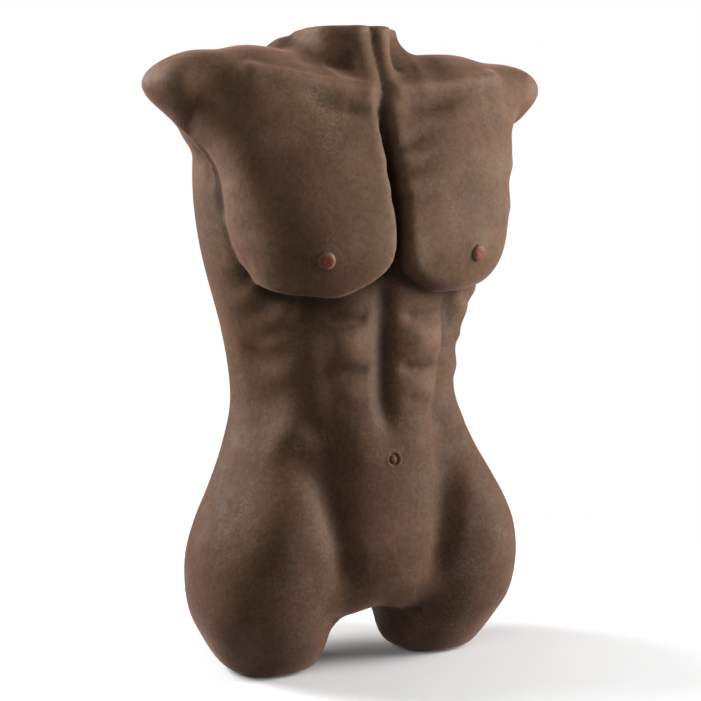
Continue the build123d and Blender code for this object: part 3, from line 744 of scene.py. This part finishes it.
# ---------------------------------------------------------------- materials
class Look:
    """A node material: textures in metres, mixed into a Principled shader."""

    def __init__(self, name, stretch=(1, 1, 1)):
        self.material = bpy.data.materials.new(name)
        self.material.use_nodes = True
        self.tree = self.material.node_tree
        self.shader = self.tree.nodes["Principled BSDF"]
        mapping = self.node("ShaderNodeMapping")
        mapping.inputs["Scale"].default_value = stretch
        self.link(self.node("ShaderNodeTexCoord").outputs["Object"], mapping.inputs["Vector"])
        self.place = mapping.outputs["Vector"]

    def node(self, kind, **settings):
        n = self.tree.nodes.new(kind)
        for key, value in settings.items():
            setattr(n, key, value)
        return n

    def link(self, a, b):
        self.tree.links.new(a, b)

    def noise(self, scale, detail, distortion=0.0):
        n = self.node("ShaderNodeTexNoise")
        n.inputs["Scale"].default_value = scale
        n.inputs["Detail"].default_value = detail
        n.inputs["Distortion"].default_value = distortion
        self.link(self.place, n.inputs["Vector"])
        return n.outputs["Fac"]

    def band(self, value, low, high, first=0.0, last=1.0):
        """Runs smoothly from first to last as the value goes from low to high."""
        n = self.node("ShaderNodeMapRange", interpolation_type="SMOOTHSTEP")
        self.link(value, n.inputs["Value"])
        for key, number in (("From Min", low), ("From Max", high), ("To Min", first), ("To Max", last)):
            n.inputs[key].default_value = number
        return n.outputs["Result"]

    def combine(self, a, b, operation="MULTIPLY"):
        n = self.node("ShaderNodeMath", operation=operation)
        for i, v in enumerate((a, b)):
            if isinstance(v, (int, float)):
                n.inputs[i].default_value = v
            else:
                self.link(v, n.inputs[i])
        return n.outputs["Value"]

    def mix(self, amount, a, b):
        """Colour a, or b where the amount is 1."""
        n = self.node("ShaderNodeMix", data_type="RGBA")
        self.link(amount, n.inputs["Factor"])
        for i, v in ((6, a), (7, b)):  # the node's two colour inputs
            if isinstance(v, tuple):
                n.inputs[i].default_value = (*v, 1)
            else:
                self.link(v, n.inputs[i])
        return n.outputs[2]  # its colour output

    def colour(self, c):
        self.link(c, self.shader.inputs["Base Color"])

    def rough(self, value, low, high):
        self.link(self.band(value, 0.3, 0.7, low, high), self.shader.inputs["Roughness"])

    def bump(self, value, depth, strength):
        n = self.node("ShaderNodeBump")
        n.inputs["Strength"].default_value = strength
        n.inputs["Distance"].default_value = depth
        self.link(value, n.inputs["Height"])
        self.link(n.outputs["Normal"], self.shader.inputs["Normal"])

    def set(self, **values):
        for key, value in values.items():
            self.shader.inputs[key.replace("_", " ")].default_value = value


def elastomer():
    """Dark brown elastomer with painted shade in the hollows, creases and low down and painted highlights on
    the ridges; dusty and specked.
    """
    k = Look("dark_elastomer")
    ridge_highlight_crease_shade = k.node("ShaderNodeAttribute", attribute_name="painted_relief_light").outputs["Fac"]
    hollow_shade = k.node("ShaderNodeAttribute", attribute_name="hollow_shade").outputs["Fac"]
    big, middle, fine = k.noise(11, 4, 0.6), k.noise(38, 5, 0.3), k.noise(420, 3)
    tone = k.mix(k.band(big, 0.35, 0.68), (0.09, 0.049, 0.0262), (0.142, 0.079, 0.0415))
    tone = k.mix(k.band(middle, 0.4, 0.7, 0.0, 0.45), tone, (0.15, 0.079, 0.051))
    # painted highlight: paler on the ridges
    tone = k.mix(k.band(ridge_highlight_crease_shade, 0.5, 1.0, 0.0, 0.8), tone, (0.215, 0.125, 0.08))
    # painted shade: darker in the creases
    tone = k.mix(k.band(ridge_highlight_crease_shade, 0.5, 0.05, 0.0, 0.4), tone, (0.03, 0.017, 0.01))
    # painted shade: darker towards the bottom of the body
    up = k.node("ShaderNodeSeparateXYZ")
    k.link(k.place, up.inputs["Vector"])
    tone = k.mix(k.band(up.outputs["Z"], 0.44, 0.22, 0.0, 0.55), tone, (0.064, 0.032, 0.017))
    tone = k.mix(k.band(k.noise(24, 4, 0.5), 0.48, 0.72, 0.0, 0.5), tone, (0.155, 0.075, 0.048))
    tone = k.mix(k.band(k.noise(210, 6, 0.2), 0.35, 0.65, 0.0, 0.34), tone, (0.15, 0.094, 0.062))
    tone = k.mix(k.band(k.noise(150, 5, 0.2), 0.45, 0.65, 0.0, 0.3), tone, (0.07, 0.035, 0.02))
    dust = k.combine(k.band(k.noise(15, 5, 0.9), 0.5, 0.7), k.band(fine, 0.42, 0.7, 0.06, 0.42))
    tone = k.mix(dust, tone, (0.235, 0.166, 0.108))
    cells = k.node("ShaderNodeTexVoronoi")
    cells.inputs["Scale"].default_value = 330
    k.link(k.place, cells.inputs["Vector"])
    pick = k.node("ShaderNodeSeparateColor")
    k.link(cells.outputs["Color"], pick.inputs["Color"])
    speck = k.combine(k.band(cells.outputs["Distance"], 0.3, 0.1), k.band(pick.outputs["Red"], 0.93, 0.97))
    tone = k.mix(k.combine(speck, 0.4), tone, (0.3, 0.23, 0.17))
    # painted shade: near black in the enclosed hollows
    k.colour(k.mix(k.band(hollow_shade, 0.5, 0.71, 0.0, 0.88), tone, (0.022, 0.012, 0.007)))
    k.rough(middle, 0.58, 0.74)
    grain = k.combine(k.combine(fine, 0.2), k.combine(k.noise(110, 6), 0.6), "ADD")
    k.bump(grain, 0.0011, 0.7)
    k.set(Sheen_Weight=0.25, Sheen_Roughness=0.35, Sheen_Tint=(1.0, 0.56, 0.47, 1))
    k.set(Specular_IOR_Level=0.13)
    return k.material


def nipple_look():
    """Red-brown in the middle, paling to the body's brown at the rounded rim."""
    k = Look("red_elastomer")
    rim = k.node("ShaderNodeAttribute", attribute_name="rim").outputs["Fac"]
    big, fine = k.noise(160, 4, 0.5), k.noise(900, 3)
    tone = k.mix(k.band(big, 0.35, 0.65), (0.155, 0.038, 0.016), (0.2, 0.056, 0.025))
    ragged = k.combine(rim, k.combine(big, 0.16), "ADD")
    tone = k.mix(k.band(ragged, 0.68, 0.95), tone, (0.165, 0.093, 0.058))
    tone = k.mix(k.band(rim, 0.88, 1.0), tone, (0.09, 0.05, 0.031))
    k.colour(k.mix(k.band(fine, 0.55, 0.75, 0.0, 0.2), tone, (0.27, 0.14, 0.09)))
    k.rough(big, 0.48, 0.62)
    k.bump(k.combine(fine, big, "ADD"), 0.0003, 0.6)
    k.set(Sheen_Weight=0.1, Sheen_Roughness=0.45, Specular_IOR_Level=0.25)
    return k.material


def plain_look(name, dark, light, scale, rough, grain, depth, stretch=(1, 1, 1), metallic=0.0):
    """Two tones and a roughness that follow a noise, with a fine grain."""
    k = Look(name, stretch)
    cloud, fine = k.noise(scale, 4, 0.3), k.noise(grain, 3)
    k.colour(k.mix(k.band(cloud, 0.35, 0.65), dark, light))
    k.rough(cloud, *rough)
    k.bump(fine, depth, 0.5)
    k.set(Metallic=metallic)
    return k.material


def plywood():
    """Birch plies seen on the edge, and long grain on the faces."""
    k = Look("birch_plywood")
    plies = k.node("ShaderNodeTexWave", wave_type="BANDS", bands_direction="Z")
    plies.inputs["Scale"].default_value = 110
    plies.inputs["Distortion"].default_value = 0.4
    k.link(k.place, plies.inputs["Vector"])
    grain = k.node("ShaderNodeTexNoise")
    grain.inputs["Scale"].default_value = 60
    squash = k.node("ShaderNodeMapping")
    squash.inputs["Scale"].default_value = (0.15, 2.5, 1)
    k.link(k.place, squash.inputs["Vector"])
    k.link(squash.outputs["Vector"], grain.inputs["Vector"])
    tone = k.mix(k.band(grain.outputs["Fac"], 0.35, 0.65), (0.42, 0.27, 0.13), (0.56, 0.38, 0.2))
    k.colour(k.mix(k.band(plies.outputs["Fac"], 0.4, 0.7, 0.0, 0.5), tone, (0.27, 0.15, 0.07)))
    k.rough(grain.outputs["Fac"], 0.5, 0.7)
    k.bump(grain.outputs["Fac"], 0.0003, 0.5)
    return k.material


def metal_look(name, dark, light, scale, rough, grain, depth=0.00005, stretch=(1, 1, 1)):
    return plain_look(name, dark, light, scale, rough, grain, depth, stretch, 1.0)


looks = {
    "core_foam": plain_look("foam", (0.6, 0.53, 0.33), (0.74, 0.68, 0.46), 25, (0.9, 1.0), 700, 0.001),
    "frame_tube": metal_look(
        "zinc_tube", (0.36, 0.37, 0.39), (0.5, 0.51, 0.52), 30, (0.28, 0.42), 500, stretch=(1, 1, 0.3)
    ),
    "fitting": metal_look(
        "cast_aluminium", (0.3, 0.31, 0.32), (0.42, 0.43, 0.44), 60, (0.45, 0.62), 800, 0.0004
    ),
    "steel_plate": metal_look("zinc_plate", (0.34, 0.35, 0.37), (0.47, 0.48, 0.5), 50, (0.3, 0.45), 600),
    "fastener": metal_look("zinc_screws", (0.27, 0.27, 0.28), (0.4, 0.4, 0.42), 200, (0.3, 0.45), 900),
    "grub_screw": metal_look(
        "black_oxide", (0.012, 0.012, 0.014), (0.03, 0.03, 0.032), 200, (0.35, 0.5), 900
    ),
    "ball_plastic": plain_look("nylon", (0.6, 0.57, 0.48), (0.68, 0.65, 0.57), 40, (0.4, 0.52), 600, 0.0001),
    "board_wood": plywood(),
    "pad_rubber": plain_look(
        "black_rubber", (0.016, 0.015, 0.014), (0.034, 0.031, 0.029), 120, (0.65, 0.85), 900, 0.0003
    ),
}
for entry in frame["record"]["subparts"]:
    if entry["material_slot"] in looks:
        mesh = frame["nodes"][entry["node"]].data
        mesh.materials.clear()
        mesh.materials.append(looks[entry["material_slot"]])
skin.data.materials.append(elastomer())
for piece in nipples:
    piece.data.materials.append(nipple_look())


# ---------------------------------------------------------------- stage, light, camera
bpy.ops.mesh.primitive_circle_add(vertices=128, radius=0.75, fill_type="NGON", location=(0, 0, 0))
floor = bpy.context.object
floor.name = "floor"
pale = plain_look("pale_floor", (0.9, 0.9, 0.9), (0.93, 0.93, 0.93), 3, (0.8, 0.9), 90, 0.0002)
floor.data.materials.append(pale)
floor.visible_diffuse = False  # the floor throws no light back up at the body

AMBIENT = 0.15
bpy.context.scene.view_settings.view_transform = "Standard"
world = bpy.data.worlds.new("soft_studio")
bpy.context.scene.world = world
world.use_nodes = True
background = world.node_tree.nodes["Background"]
background.inputs["Color"].default_value = (1, 1, 1, 1)
seen = world.node_tree.nodes.new("ShaderNodeLightPath").outputs["Is Camera Ray"]
strength = world.node_tree.nodes.new("ShaderNodeMapRange")
strength.inputs["To Min"].default_value = AMBIENT
strength.inputs["To Max"].default_value = 1.0
world.node_tree.links.new(seen, strength.inputs["Value"])
world.node_tree.links.new(strength.outputs["Result"], background.inputs["Strength"])


def lamp(name, place, target, size, power):
    """A soft rectangular light that faces its target."""
    data = bpy.data.lights.new(name, "AREA")
    data.shape = "RECTANGLE"
    data.size, data.size_y = size
    data.energy = power
    o = bpy.data.objects.new(name, data)
    o.location = place
    o.rotation_euler = (Vector(target) - Vector(place)).to_track_quat("-Z", "Y").to_euler()
    bpy.context.scene.collection.objects.link(o)


lamp("key", (-1.6, 1.3, 1.4), (0, 0, 0.44), (1.0, 1.6), 98)
lamp("side", (1.84, -0.98, 0.85), (0, 0, 0.4), (0.8, 1.6), 84)
lamp("front", (-1.3, -1.9, 1.9), (0, 0, 0.55), (1.2, 1.2), 12)

AZIMUTH, ELEVATION, DISTANCE, ROLL = -26.5, 6.2, 1.75, -0.4
AIM = Vector((0, 0, 0.348))
PICTURE_WIDTH = 701  # pixels
FOCAL_LENGTH = 1570  # pixels
SENSOR_WIDTH = 36
az, el = math.radians(AZIMUTH), math.radians(ELEVATION)
offset = Vector((math.sin(az) * math.cos(el), -math.cos(az) * math.cos(el), math.sin(el))) * DISTANCE
camera_data = bpy.data.cameras.new("camera")
camera_data.lens = FOCAL_LENGTH / PICTURE_WIDTH * SENSOR_WIDTH
camera_data.sensor_width = SENSOR_WIDTH
camera = bpy.data.objects.new("camera", camera_data)
camera.location = AIM + offset
turned = (-offset).to_track_quat("-Z", "Y").to_matrix() @ Matrix.Rotation(math.radians(ROLL), 3, "Z")
camera.rotation_euler = turned.to_euler()
bpy.context.scene.collection.objects.link(camera)
bpy.context.scene.camera = camera
